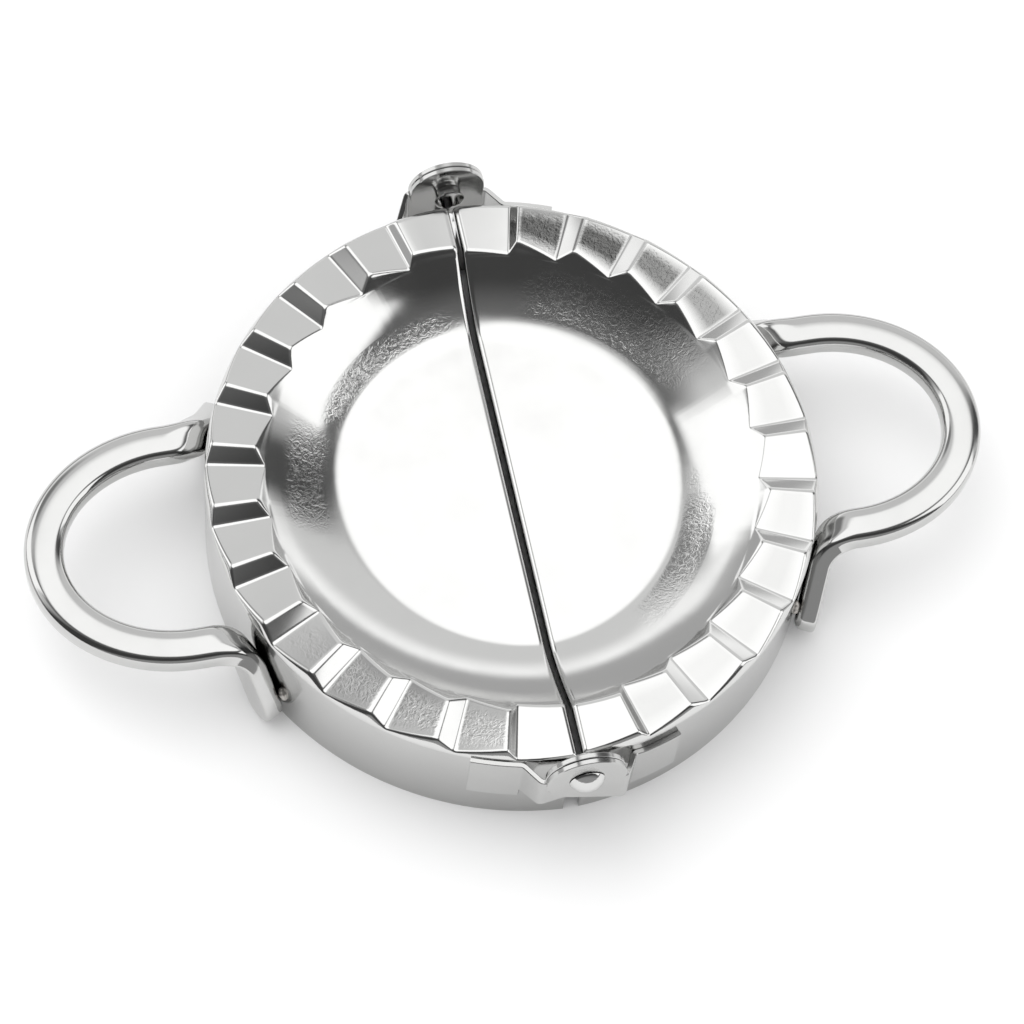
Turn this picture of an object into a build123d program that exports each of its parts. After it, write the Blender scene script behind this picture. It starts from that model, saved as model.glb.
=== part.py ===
from build123d import *
import os
from math import acos, asin, atan2, cos, degrees, radians, sin, sqrt, tan

# An empanada press of pressed stainless sheet, lying open on its two round skirts.
# Units are millimetres and degrees. Z is up and the table is Z = 0. The slit between the two
# halves runs along Y, and the handles point along +X and -X. The two halves are the same
# pressing, so everything is drawn for the right half or the front hinge, then turned about Z.

# Rim and skirt
skirt_radius = 48.3         # outside of the skirt
rim_height = 20.1           # table to the crests of the crimping rim
wave_depth = 1.4            # crest to valley of the rim
rim_land = 9.3              # width of the rim at its valleys
crest_outer_setback = 0.8   # the outer end of a crest stands back from the skirt
crest_inner_setback = 1.7   # the inner end of a crest stands back from the valley's
pads_per_half = 14          # gently sloping pads round one half
step_angle = 3.64           # turn taken by the steep face between two pads
end_pad_angle = 12.9        # turn from the slit's line to the first steep face
sheet = 0.7                 # thickness of the pressed sheet

# Dish
dish_depth = 6.9            # crests to the flat floor
floor_radius = 27.7         # where the wall would meet the flat floor in a sharp corner
floor_bend = 8.0            # radius of the bend that takes that corner's place
wall_sag = 0.5              # the wall hangs this far below a straight line up to the rim

# Slit
slit = 0.8                  # gap between the two straight edges
centre_shift = 1.4          # each half's own centre lies this far past the slit's line
lip_drop = 2.2              # the straight edge is turned down by this much
skirt_gap = 2.2             # gap between the ends of the two skirts
skirt_end_height = 15.5     # the skirt's end stops under the rim at this height

# Hinge
closed_gap = 0.4            # gap between the two rims when the press is shut
leaf_sheet = 0.8            # thickness of the hinge leaves
ear_radius = 6.0            # round ear about the rivet
ear_gap = 0.1               # running gap beside each ear
ear_standoff = 2.2          # skirt to the inner face of the inner ear
leaf_bottom = 8.0           # lower edge of the plates on the skirt
leaf_top = 18.4             # upper edge of the plates on the skirt
leaf_end = 16.0             # far end of the plates, from the slit's line
plate_start = 8.5           # near end of the plates, from the slit's line
ear_corner_reach = 6.3      # lower corner of the ears, from the slit's line
ear_corner_height = 10.8    # height of that corner
joggle_reach = 6.3          # where the slanted straps meet their ears
joggle_bottom = 10.2        # lower edge of the inner leaf's slanted strap
strap_top = 18.8            # upper end of the outer leaf's slanted strap, at its ear
low_plate_bottom = 5.2      # lower edge of the outer leaf's plate, set lower than the inner's
low_plate_top = 15.6        # upper edge of that plate
plate_corner = 1.8          # rounded inner corner of that plate
rivet_radius = 1.7          # shank
rivet_clearance = 0.05      # radial clearance in the ear that turns
head_radius = 2.7           # domed head
head_height = 1.6
tail_length = 1.6           # tail beyond the inner ear
tail_radius = 2.4           # flared end of the tail
tail_neck = 2.0             # radius of the tail behind its flare
tail_dish = 0.5             # depth of the hollow in the tail's end

# Handles
handle_top = 15.9           # upper face of the bar
handle_offset = 1.2         # the loop's centre line, along Y from the hinge's middle
arm_length = 5.1            # skirt's side to where the arms run into the loop
loop_length = 20.1          # loop beyond that, on the bar's centre line
loop_half_width = 17.4      # half the loop's width, on the bar's centre line
bar_width = 6.0
bar_thickness = 3.5
bar_top_round = 1.4         # rounding of the bar's upper edges
bar_under_round = 0.6       # rounding of the bar's lower edges
bend_run = 4.6              # length that each fold takes from the arm and from the foot
foot_tip_turn = 29.0        # direction of the foot's tip from X, about the half's centre
foot_tip_height = 0.9       # lowest point of the foot
foot_seat = 0.03            # gap between the foot and the crown of the skirt
bead_radius = 0.8           # weld bead at each foot
bead_length = 2.6

# Worked out from the sizes above
floor_height = rim_height - dish_depth
valley_height = rim_height - wave_depth
valley_inner_radius = skirt_radius - rim_land
pin_height = valley_height + wave_depth / 2 + closed_gap / 2
inner_ear_face = skirt_radius + ear_standoff
outer_ear_face = inner_ear_face + leaf_sheet + ear_gap
half_centre = Vector(-centre_shift, 0, 0)
loop_start = skirt_radius - centre_shift + arm_length
bar_middle = handle_top - bar_thickness / 2
wave_turn = 180 / pads_per_half
spare = 1.0                 # how far cutting tools run past what they cut


def direction(turn):
    """Level direction of a place on the right half, turned clockwise from +Y."""
    return Vector(sin(radians(turn)), cos(radians(turn)), 0)


def wave_plane(turn, reach):
    """Upright plane square to the given direction: local x runs clockwise, local y is up."""
    return Plane(
        origin=half_centre + direction(turn) * reach,
        x_dir=direction(turn + 90),
        z_dir=-direction(turn),
    )


def wave_corners(reach, crest_before, valley, crest_after, drop):
    """Corners of the wedge that cuts one pad and the steep face after it, on one wave plane."""
    middle = (crest_before + crest_after) / 2
    low = reach * tan(radians(valley - middle))
    before = reach * tan(radians(crest_before - middle))
    after = reach * tan(radians(crest_after - middle))
    over = 1 + spare / wave_depth
    return [
        (low, valley_height - drop),
        (low + (after - low) * over, rim_height + spare - drop),
        (low + (before - low) * over, rim_height + spare - drop),
    ]


def pressed_half(drop, inset, slit_side):
    """Everything under the pressed surface of the right half.

    The surface is lowered by drop, the skirt is drawn in by inset and the curved wall of the
    dish is moved out by it, so that the steep parts of the sheet are as thick as the flat ones.
    """
    wall_top = valley_inner_radius + inset
    rim_slope = crest_inner_setback / wave_depth
    edge_slope = crest_outer_setback / wave_depth
    top = rim_height + spare / 2 - drop
    top_rise = wave_depth + spare / 2
    with BuildPart() as half:
        with BuildSketch(Plane(origin=half_centre, x_dir=(1, 0, 0), z_dir=(0, -1, 0))):
            with BuildLine():
                Polyline(
                    (floor_radius, floor_height - drop),
                    (0, floor_height - drop),
                    (0, -inset),
                    (skirt_radius - inset, -inset),
                    (skirt_radius - inset, valley_height - drop),
                    (skirt_radius - inset - edge_slope * top_rise, top),
                    (wall_top + rim_slope * top_rise, top),
                    (wall_top, valley_height - drop),
                )
                SagittaArc(
                    (wall_top, valley_height - drop),
                    (floor_radius, floor_height - drop),
                    wall_sag,
                )
            make_face()
            fillet(vertices().sort_by_distance((floor_radius, floor_height - drop))[0], floor_bend)
        revolve(axis=Axis((half_centre.X, 0, 0), (0, 0, 1)))
        split(bisect_by=Plane.YZ.offset(slit_side), keep=Keep.TOP)
        slit_turn = degrees(asin((centre_shift + slit / 2) / skirt_radius))
        crest_turns = [slit_turn / 2]
        valley_turns = [end_pad_angle]
        for count in range(1, pads_per_half):
            crest_turns.append(count * wave_turn + step_angle / 2)
            valley_turns.append((count + 1) * wave_turn - step_angle / 2)
        crest_turns[-1] = 180 - end_pad_angle
        valley_turns[-1] = 180 - slit_turn / 2
        crest_turns.append(180 + step_angle)
        for count in range(pads_per_half):
            wave = (crest_turns[count], valley_turns[count], crest_turns[count + 1])
            middle = (wave[0] + wave[2]) / 2
            for reach in (valley_inner_radius - rim_land, skirt_radius + rim_land):
                with BuildSketch(wave_plane(middle, reach)):
                    with BuildLine():
                        Polyline(*wave_corners(reach, *wave, drop), close=True)
                    make_face()
            loft(ruled=True, mode=Mode.SUBTRACT)
    return half.part


# ---- Dish shells -------------------------------------------------------------------------

outside = pressed_half(0, 0, slit / 2)
hollow = pressed_half(sheet, sheet, 0)
under_lip = pressed_half(lip_drop, sheet, 0)

with BuildPart() as lip:
    add(outside)
    with Locations((slit / 2 + sheet / 2, 0, rim_height / 2)):
        Box(sheet, 3 * skirt_radius, 2 * rim_height, mode=Mode.INTERSECT)
    add(under_lip, mode=Mode.SUBTRACT)

with BuildPart() as right_shell:
    add(outside)
    add(hollow, mode=Mode.SUBTRACT)
    add(lip.part)
    with Locations((0, -skirt_radius, 0), (0, skirt_radius, 0)):
        Box(skirt_gap, rim_land, 2 * skirt_end_height, mode=Mode.SUBTRACT)

with BuildPart() as left_shell:
    add(right_shell.part.rotate(Axis.Z, 180))


# ---- Hinge leaves ------------------------------------------------------------------------

def skirt_place(reach):
    """Place on the middle of a leaf's plate, at the front, this far from the slit's line."""
    return (reach, -sqrt((skirt_radius + leaf_sheet / 2) ** 2 - (reach + centre_shift) ** 2))


def ear_corners():
    """Corners of a leaf's silhouette along the straight lower edge of its ear."""
    corner = Vector(ear_corner_reach, ear_corner_height - pin_height)
    touch_turn = atan2(corner.Y, corner.X) - acos(ear_radius / corner.length)
    touch = (ear_radius * cos(touch_turn), pin_height + ear_radius * sin(touch_turn))
    return [(0, pin_height), touch, (ear_corner_reach, ear_corner_height)]


def leaf_part(silhouette, plate_reach, strap_end, ear_face, bore_radius):
    """A front hinge leaf for the right half: its plan in leaf sheet, cut to its silhouette."""
    with BuildPart() as leaf:
        with BuildSketch(Plane.XY):
            with Locations((half_centre.X, 0)):
                Circle(skirt_radius + leaf_sheet)
                Circle(skirt_radius, mode=Mode.SUBTRACT)
            with Locations((plate_reach, -skirt_radius)):
                Rectangle(
                    leaf_end - plate_reach,
                    skirt_radius,
                    align=(Align.MIN, Align.CENTER),
                    mode=Mode.INTERSECT,
                )
            plate_edge = Vector(*skirt_place(plate_reach))
            ear_edge = Vector(strap_end, -ear_face - leaf_sheet / 2)
            strap = ear_edge - plate_edge
            with Locations((plate_edge + ear_edge) / 2):
                SlotCenterToCenter(
                    strap.length,
                    leaf_sheet,
                    rotation=degrees(atan2(strap.Y, strap.X)),
                )
            with Locations((strap_end, -ear_face)):
                Rectangle(strap_end + 2 * ear_radius, leaf_sheet, align=(Align.MAX, Align.MAX))
        extrude(amount=rim_height + 2 * ear_radius)
        extrude(silhouette, amount=2 * skirt_radius, mode=Mode.INTERSECT)
        with BuildSketch(Plane.XZ):
            with Locations((0, pin_height)):
                Circle(bore_radius)
        extrude(amount=2 * skirt_radius, mode=Mode.SUBTRACT)
    return leaf.part


with BuildSketch(Plane.XZ) as inner_silhouette:
    with BuildLine():
        Polyline(
            *ear_corners(),
            (plate_start, joggle_bottom),
            (plate_start, leaf_bottom),
            (leaf_end, leaf_bottom),
            (leaf_end, leaf_top),
            (0, leaf_top),
            close=True,
        )
    make_face()
    with Locations((0, pin_height)):
        Circle(ear_radius)

with BuildSketch(Plane.XZ) as outer_silhouette:
    with BuildLine():
        Polyline(
            *ear_corners(),
            (plate_start, ear_corner_height),
            (plate_start, low_plate_bottom),
            (leaf_end, low_plate_bottom),
            (leaf_end, low_plate_top),
            (plate_start + plate_corner / 2, low_plate_top),
            (joggle_reach, strap_top),
            (0, strap_top),
            close=True,
        )
    make_face()
    plate_top = (plate_start + plate_corner / 2, low_plate_top)
    fillet(outer_silhouette.vertices().sort_by_distance(plate_top)[0], plate_corner)
    with Locations((0, pin_height)):
        Circle(ear_radius)

running_bore = rivet_radius + rivet_clearance
inner_leaf_place = (inner_silhouette.sketch, plate_start, joggle_reach, inner_ear_face)
outer_leaf_place = (outer_silhouette.sketch, plate_start, joggle_reach, outer_ear_face)

# The rivets are fast in the leaves of the left half and turn in those of the right half.
with BuildPart() as front_inner_leaf:
    add(mirror(leaf_part(*inner_leaf_place, rivet_radius), about=Plane.YZ, mode=Mode.PRIVATE))

with BuildPart() as rear_inner_leaf:
    loose_inner_leaf = leaf_part(*inner_leaf_place, running_bore)
    add(mirror(loose_inner_leaf, about=Plane.XZ, mode=Mode.PRIVATE))

with BuildPart() as front_outer_leaf:
    add(leaf_part(*outer_leaf_place, running_bore))

with BuildPart() as rear_outer_leaf:
    add(leaf_part(*outer_leaf_place, rivet_radius).rotate(Axis.Z, 180))


# ---- Rivets ------------------------------------------------------------------------------

head_face = outer_ear_face + leaf_sheet + ear_gap
head_curve = (head_radius**2 + head_height**2) / (2 * head_height)
head_middle = head_face + head_height - head_curve
head_turn = asin(head_radius / head_curve) / 2
tail_face = inner_ear_face - ear_gap
tail_end = inner_ear_face - tail_length

with BuildPart() as front_rivet:
    with BuildSketch(Plane(origin=(0, 0, pin_height), x_dir=(0, -1, 0), z_dir=(-1, 0, 0))):
        with BuildLine():
            Polyline(
                (head_face + head_height, 0),
                (tail_end + tail_dish, 0),
                (tail_end, tail_neck),
                (tail_end, tail_radius),
                ((tail_end + tail_face) / 2, tail_neck),
                (tail_face, tail_neck),
                (tail_face, rivet_radius),
                (head_face, rivet_radius),
                (head_face, head_radius),
            )
            ThreePointArc(
                (head_face, head_radius),
                (head_middle + head_curve * cos(head_turn), head_curve * sin(head_turn)),
                (head_face + head_height, 0),
            )
        make_face()
    revolve(axis=Axis((0, 0, pin_height), (0, 1, 0)))

with BuildPart() as rear_rivet:
    add(front_rivet.part.rotate(Axis.Z, 180))


# ---- Handles -----------------------------------------------------------------------------

def bar_section(plane):
    """Section of the handle's bar: flat below, with well-rounded upper edges."""
    with BuildSketch(plane) as section:
        Rectangle(bar_width, bar_thickness)
        rows = section.vertices().group_by(Axis.Y)
        fillet(rows[-1], bar_top_round)
        fillet(rows[0], bar_under_round)
    return section.sketch


class Fold:
    """Where one end of the right handle folds down on the skirt; side is -1 front, 1 rear."""

    def __init__(self, side):
        arm_y = handle_offset + side * loop_half_width
        seat = skirt_radius + foot_seat + bar_thickness / 2
        arm_turn = degrees(asin(arm_y / seat))
        seat_turn = radians((arm_turn + side * foot_tip_turn) / 2)
        self.outward = Vector(cos(seat_turn), sin(seat_turn), 0)
        along = Vector(-sin(seat_turn), cos(seat_turn), 0)
        corner_x = half_centre.X + (seat - arm_y * self.outward.Y) / self.outward.X
        self.corner = Vector(corner_x, arm_y, bar_middle)
        tip_run = seat * (radians(side * foot_tip_turn) - seat_turn)
        tip_level = Vector(0, 0, foot_tip_height + bar_width / 2)
        self.tip = half_centre + self.outward * seat + along * tip_run + tip_level
        self.down = (self.tip - self.corner).normalized()
        self.arm_end = self.corner + Vector(bend_run, 0, 0)
        self.foot_start = self.corner + self.down * bend_run

    def plane(self, part_way):
        """Section plane part of the way round the fold, from 0 at the arm to 1 at the foot."""
        start_share = (1 - part_way) ** 2
        corner_share = 2 * part_way * (1 - part_way)
        end_share = part_way**2
        origin = (
            self.arm_end * start_share + self.corner * corner_share + self.foot_start * end_share
        )
        heading = (self.corner - self.arm_end) * (1 - part_way)
        heading += (self.foot_start - self.corner) * part_way
        heading = heading.normalized()
        crown = Vector(0, 0, 1) * (1 - part_way) - self.outward * part_way
        crown = (crown - heading * crown.dot(heading)).normalized()
        return Plane(origin=origin, x_dir=crown.cross(heading), z_dir=heading)


def foot_part(fold):
    """Straight foot with a round tip, its rounded face against the skirt."""
    inner_face = fold.tip - fold.outward * (bar_thickness / 2)
    run = (fold.tip - fold.foot_start).length
    with BuildPart() as foot:
        with BuildSketch(Plane(origin=inner_face, x_dir=fold.down, z_dir=fold.outward)):
            Rectangle(run, bar_width, align=(Align.MAX, Align.CENTER))
            Circle(bar_width / 2)
        extrude(amount=bar_thickness)
        faces = foot.faces().filter_by(Axis(fold.tip, fold.outward))
        faces = faces.sort_by(Axis(fold.tip, fold.outward))
        for face, rounding in ((faces[0], bar_top_round), (faces[-1], bar_under_round)):
            edges = face.edges().sort_by(Axis(fold.tip, fold.down))[1:]
            fillet(edges, rounding)
    return foot.part


folds = [Fold(-1), Fold(1)]
bend_steps = 4

with BuildPart() as right_handle:
    with BuildLine() as loop:
        Line(folds[0].arm_end, (loop_start, folds[0].corner.Y, bar_middle))
        with BuildLine(Plane.XY.offset(bar_middle)):
            EllipticalCenterArc(
                (loop_start, handle_offset),
                loop_length,
                loop_half_width,
                start_angle=-90,
                arc_size=180,
            )
        Line((loop_start, folds[1].corner.Y, bar_middle), folds[1].arm_end)
    first_plane = Plane(origin=folds[0].arm_end, x_dir=(0, 1, 0), z_dir=(1, 0, 0))
    sweep(bar_section(first_plane), path=loop.wire())
    for fold in folds:
        loft([bar_section(fold.plane(step / bend_steps)) for step in range(bend_steps + 1)])
        add(foot_part(fold))

with BuildPart() as left_handle:
    add(right_handle.part.rotate(Axis.Z, 180))


# ---- Weld beads at the feet --------------------------------------------------------------

def weld_bead(fold):
    """Short bead in the corner between the skirt and the outer side of a foot's tip."""
    side = fold.outward.cross(fold.down) * (bar_width / 2)
    if side.Z < 0:
        side = side * -1
    middle = fold.tip + side - fold.down * bead_length / 2 - half_centre
    level = Vector(middle.X, middle.Y, 0)
    middle = half_centre + level.normalized() * skirt_radius + Vector(0, 0, middle.Z)
    with BuildPart() as bead:
        with Locations(Plane(origin=middle, z_dir=fold.down)):
            Cylinder(bead_radius, bead_length - 2 * bead_radius)
            with Locations((0, 0, bead_length / 2 - bead_radius), (0, 0, bead_radius - bead_length / 2)):
                Sphere(bead_radius)
        add(right_handle.part, mode=Mode.SUBTRACT)
        with Locations((half_centre.X, 0, 0)):
            Cylinder(skirt_radius, 3 * rim_height, mode=Mode.SUBTRACT)
    return bead.part


with BuildPart() as right_handle_weld_front:
    add(weld_bead(folds[0]))

with BuildPart() as right_handle_weld_rear:
    add(weld_bead(folds[1]))

with BuildPart() as left_handle_weld_rear:
    add(right_handle_weld_front.part.rotate(Axis.Z, 180))

with BuildPart() as left_handle_weld_front:
    add(right_handle_weld_rear.part.rotate(Axis.Z, 180))


# ---- Write every piece -------------------------------------------------------------------

os.makedirs("parts", exist_ok=True)

pieces = {
    "left_shell": left_shell,
    "right_shell": right_shell,
    "left_handle": left_handle,
    "right_handle": right_handle,
    "left_handle_weld_front": left_handle_weld_front,
    "left_handle_weld_rear": left_handle_weld_rear,
    "right_handle_weld_front": right_handle_weld_front,
    "right_handle_weld_rear": right_handle_weld_rear,
    "front_outer_leaf": front_outer_leaf,
    "front_inner_leaf": front_inner_leaf,
    "rear_outer_leaf": rear_outer_leaf,
    "rear_inner_leaf": rear_inner_leaf,
    "front_rivet": front_rivet,
    "rear_rivet": rear_rivet,
}

for name, piece in pieces.items():
    piece.part.label = name
    export_step(piece.part, f"parts/{name}.step")
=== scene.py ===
# %% [markdown]
# # An empanada press in polished stainless steel
# A press like this is two halves of one pressed sheet, each half a shallow dish with a
# crimping rim, joined by two riveted hinges. A round of dough lies across the open dish, and
# folding the handles together shuts the rims on its edge. This lesson dresses the packed
# model of the press: it loads the model as a fixed frame, draws every piece again with the
# soft bends and rounded edges that real sheet has, and gives each metal its own finish.

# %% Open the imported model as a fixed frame
import math

import bmesh
import bpy
import numpy as np
from mathutils import Matrix, Vector


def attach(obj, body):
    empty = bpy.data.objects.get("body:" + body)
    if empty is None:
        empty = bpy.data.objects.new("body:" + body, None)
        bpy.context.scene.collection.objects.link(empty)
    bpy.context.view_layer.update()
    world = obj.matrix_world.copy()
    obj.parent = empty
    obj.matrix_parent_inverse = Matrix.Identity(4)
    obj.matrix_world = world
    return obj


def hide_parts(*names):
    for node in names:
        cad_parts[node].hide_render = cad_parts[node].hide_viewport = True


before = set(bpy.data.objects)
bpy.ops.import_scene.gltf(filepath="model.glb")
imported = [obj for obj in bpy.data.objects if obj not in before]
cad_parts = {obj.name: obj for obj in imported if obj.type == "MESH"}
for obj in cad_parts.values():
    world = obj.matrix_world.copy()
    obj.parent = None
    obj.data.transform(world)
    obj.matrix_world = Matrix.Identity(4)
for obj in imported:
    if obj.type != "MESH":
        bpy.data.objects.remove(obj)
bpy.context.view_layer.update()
MM = 0.001

# %% [markdown]
# ## The sizes that the pieces share
# The press is described with the same few sizes as its CAD model, in millimetres. The slit
# between the halves runs along Y, and each half turns about its own upright axis, which lies
# a little past the slit. The two halves are one pressing, turned half a turn about Z.

# %% Sizes of the pressing and its fittings
skirt_radius = 48.3
rim_height = 20.1
wave_depth = 1.4
rim_land = 9.3
crest_outer_setback = 0.8
crest_inner_setback = 1.7
pads_per_half = 14
step_angle = 3.64
end_pad_angle = 12.9
sheet = 0.7
floor_height = 13.2
floor_radius = 27.7
floor_bend = 8.0
wall_sag = 0.5
slit = 0.8
centre_shift = 1.4
lip_round = 0.8
lip_drop = 2.2
skirt_end_height = 15.5
pin_height = 19.6
wave_turn = 180 / pads_per_half
valley_height = rim_height - wave_depth
valley_inner_radius = skirt_radius - rim_land
lip_line = slit / 2 + lip_round
print("rim: %d pads a half, one every %.2f degrees" % (pads_per_half, wave_turn))

# %% [markdown]
# One small helper makes every object of the scene: it links an object to its data at the
# origin. The pieces stay there, since each mesh is drawn where it belongs on the press.

# %% Helper that makes an object
def placed(name, data):
    """A new object at the origin, linked to the scene."""
    made = bpy.data.objects.new(name, data)
    bpy.context.scene.collection.objects.link(made)
    return made


# %% [markdown]
# ## The camera
# A camera is a place, a direction and a lens. The press is seen from above and a little to
# one side, with a long lens, so that its round rim is hardly distorted. The three axes of the
# camera are worked out from a turn, a rise and a roll, as a studio tripod has them.

# %% Camera on its tripod
camera_turn = math.radians(-19.38)
camera_rise = math.radians(62.33)
camera_roll = math.radians(8.37)
camera_distance = 568.44
camera_aim = Vector((1.68, 2.53, 0.0))
camera_lens = 126.88

level_right = Vector((math.cos(camera_turn), math.sin(camera_turn), 0.0))
level_ahead = Vector((-level_right.y, level_right.x, 0.0))
forward = level_ahead * math.cos(camera_rise) - Vector((0.0, 0.0, math.sin(camera_rise)))
level_up = level_right.cross(forward)
right = level_right * math.cos(camera_roll) + level_up * math.sin(camera_roll)
up = level_up * math.cos(camera_roll) - level_right * math.sin(camera_roll)
camera_data = bpy.data.cameras.new("tripod_camera")
camera_data.lens = camera_lens
camera_data.sensor_width = 36.0
camera_data.clip_start = 0.01
camera_data.clip_end = 20.0
camera = placed("tripod_camera", camera_data)
stand = Matrix.Translation((camera_aim - forward * camera_distance) * MM)
camera.matrix_world = stand @ Matrix((right, up, -forward)).transposed().to_4x4()
bpy.context.scene.camera = camera
bpy.context.scene.view_settings.view_transform = "Standard"
print("camera at", [round(c, 3) for c in camera.matrix_world.translation])

# %% [markdown]
# ## A helper for every node tree
# Materials, the world and the crimping rule are all node trees. One helper adds a node, sets
# its options and fills its inputs: a plain value is stored in the socket, and another
# node's output is linked to it. Colours are written as sRGB hex codes, as a paint chart
# gives them, and one function turns them to the linear values that Blender works in.

# %% Node helper and colour helper
def add_node(tree, kind, inputs=(), **options):
    """Adds a node with its options; inputs maps a socket's name or number to a value or output."""
    made = tree.nodes.new(kind)
    for name, value in options.items():
        setattr(made, name, value)
    for key, value in dict(inputs).items():
        socket = made.inputs[key]
        if isinstance(value, bpy.types.NodeSocket):
            tree.links.new(value, socket)
        else:
            socket.default_value = value
    return made


def worked_out(tree, operation, *values):
    """Output of one arithmetic node, fed with plain values or with other outputs."""
    return add_node(tree, "ShaderNodeMath", dict(enumerate(values)), operation=operation).outputs[0]


def linear_colour(code):
    """Linear RGBA of an sRGB hex code."""
    parts = [int(code[i : i + 2], 16) / 255 for i in (1, 3, 5)]
    return [p / 12.92 if p <= 0.04045 else ((p + 0.055) / 1.055) ** 2.4 for p in parts] + [1.0]


print("white is", linear_colour("#ffffff")[:3])

# %% [markdown]
# ## The studio
# Polished steel has almost no colour of its own: it shows the room. The world is that room,
# seen by glossy rays alone, and it is drawn as a flat map of the sky with the zenith in the
# middle: a place on the map lies as many degrees from the middle as the direction lies from
# straight up, with +X to the right and +Y upward. On the map a lamp is a soft box or a disc.

# %% Flat map of the room
tent = bpy.data.worlds.new("photo_studio")
bpy.context.scene.world = tent
tent.use_nodes = True
sky = tent.node_tree
sky.nodes.clear()


def combined(operation, *values):
    """One arithmetic step on the map."""
    return worked_out(sky, operation, *values)


def soft_step(value, low, high, at_low, at_high):
    """Smooth change from at_low to at_high as value goes from low to high."""
    ends = {"Value": value, "From Min": low, "From Max": high, "To Min": at_low, "To Max": at_high}
    step = add_node(sky, "ShaderNodeMapRange", ends, interpolation_type="SMOOTHSTEP")
    return step.outputs["Result"]


look = add_node(sky, "ShaderNodeTexCoord").outputs["Generated"]
axes = add_node(sky, "ShaderNodeSeparateXYZ", {0: look}).outputs
from_top = combined("MULTIPLY", combined("ARCCOSINE", axes["Z"]), math.degrees(1))
level_square = combined("ADD", combined("POWER", axes["X"], 2), combined("POWER", axes["Y"], 2))
level = combined("SQRT", level_square)
spread = combined("DIVIDE", from_top, combined("MAXIMUM", level, 0.001))
map_right = combined("MULTIPLY", axes["X"], spread)
map_up = combined("MULTIPLY", axes["Y"], spread)


def turned_place(middle, tilt):
    """The map's two numbers measured from a middle, along axes tilted by some degrees."""
    right_way = combined("SUBTRACT", map_right, middle[0])
    up_way = combined("SUBTRACT", map_up, middle[1])
    c, s = math.cos(math.radians(tilt)), math.sin(math.radians(tilt))
    along = combined("ADD", combined("MULTIPLY", right_way, c), combined("MULTIPLY", up_way, s))
    across = combined("MULTIPLY", up_way, c)
    across = combined("SUBTRACT", across, combined("MULTIPLY", right_way, s))
    return along, across


def soft_box(middle, half_size, tilt, edge):
    """Share of a soft-edged box on the map: 1 inside it and 0 outside."""
    share = 1.0
    for value, half in zip(turned_place(middle, tilt), half_size):
        side = soft_step(combined("ABSOLUTE", value), half - edge / 2, half + edge / 2, 1, 0)
        share = combined("MULTIPLY", share, side)
    return share


def soft_disc(middle, half_size, tilt, edge):
    """Share of a soft-edged oval on the map: 1 inside it and 0 outside."""
    along, across = turned_place(middle, tilt)
    along = combined("POWER", combined("DIVIDE", along, half_size[0]), 2)
    across = combined("POWER", combined("DIVIDE", across, half_size[1]), 2)
    reach = combined("SQRT", combined("ADD", along, across))
    edge = edge / min(half_size) / 2
    return soft_step(reach, 1 - edge, 1 + edge, 1, 0)


def laid_over(light, share, level):
    """Light after something of the given level covers its share of the map."""
    mixed = add_node(sky, "ShaderNodeMix", {"Factor": share, "A": light, "B": level})
    return mixed.outputs["Result"]


print("map:", len(sky.nodes), "nodes")

# %% [markdown]
# The room itself is light grey, with a brighter band low down that leans a little and a dark
# side behind the camera. A large white panel hangs overhead inside a darker surround, and a
# soft box stands on each side. A box or disc is given by its middle and half size in degrees
# on the map, its tilt and the width of its soft edge. The camera's own rays see plain white,
# and diffuse surfaces get the same plain white, so only reflections know the room.

# %% Room, lamps and the plain white that the camera sees
lamp_level = 1.55
band_lean = 0.13
wall_level, band_level = 0.86, 1.35
band = combined("SUBTRACT", from_top, combined("MULTIPLY", map_right, band_lean))
surround = soft_disc((8, 10), (42, 33), 0, 14)
surround = combined("MULTIPLY", surround, soft_step(map_up, 20, 36, 1, 0))
room = soft_step(band, 62, 70, wall_level, band_level)
for share, level in (
    (soft_step(band, 70, 75, 0, 1), 0.52),  # foot of the room, below the band
    (soft_step(map_up, -10, 16, 1, 0), 0.06),  # dark side behind the camera
    (soft_step(map_up, -60, -44, 1, 0), 0.36),  # lighter foot of that side
    (surround, 0.16),  # dark surround of the overhead panel
    (soft_disc((60, 22), (23, 10), -10, 9), 0.09),  # dark patch beyond the right soft box
    (soft_disc((-17, 44), (11, 9), -20, 8), 0.28),  # grey patch between panel and left box
    (soft_disc((-17, 64), (8, 5), 0, 8), 1.3),  # small light in the band
    (soft_box((58.3, -16), (24, 20), -26, 4), lamp_level),  # right soft box
    (soft_box((-46, 35), (20, 19), 2, 4), lamp_level),  # left soft box
    (soft_disc((7, 10.8), (28.3, 20.8), 0, 6), lamp_level),  # overhead panel
):
    room = laid_over(room, share, level)
in_mirror = add_node(sky, "ShaderNodeLightPath").outputs["Is Glossy Ray"]
white = linear_colour("#ffffff")
room_glow = add_node(sky, "ShaderNodeBackground", {"Color": white, "Strength": room}).outputs[0]
plain_white = add_node(sky, "ShaderNodeBackground", {"Color": white, "Strength": 1.0}).outputs[0]
glow = add_node(sky, "ShaderNodeMixShader", {0: in_mirror, 1: plain_white, 2: room_glow})
add_node(sky, "ShaderNodeOutputWorld", {"Surface": glow.outputs[0]})
print("room:", len(sky.nodes), "nodes")

# %% [markdown]
# ## The table
# The press stands on a plain white table. The table is a real diffuse surface, lit just
# enough to reach white where nothing stands near, so the press throws its soft shadow on it.

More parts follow.
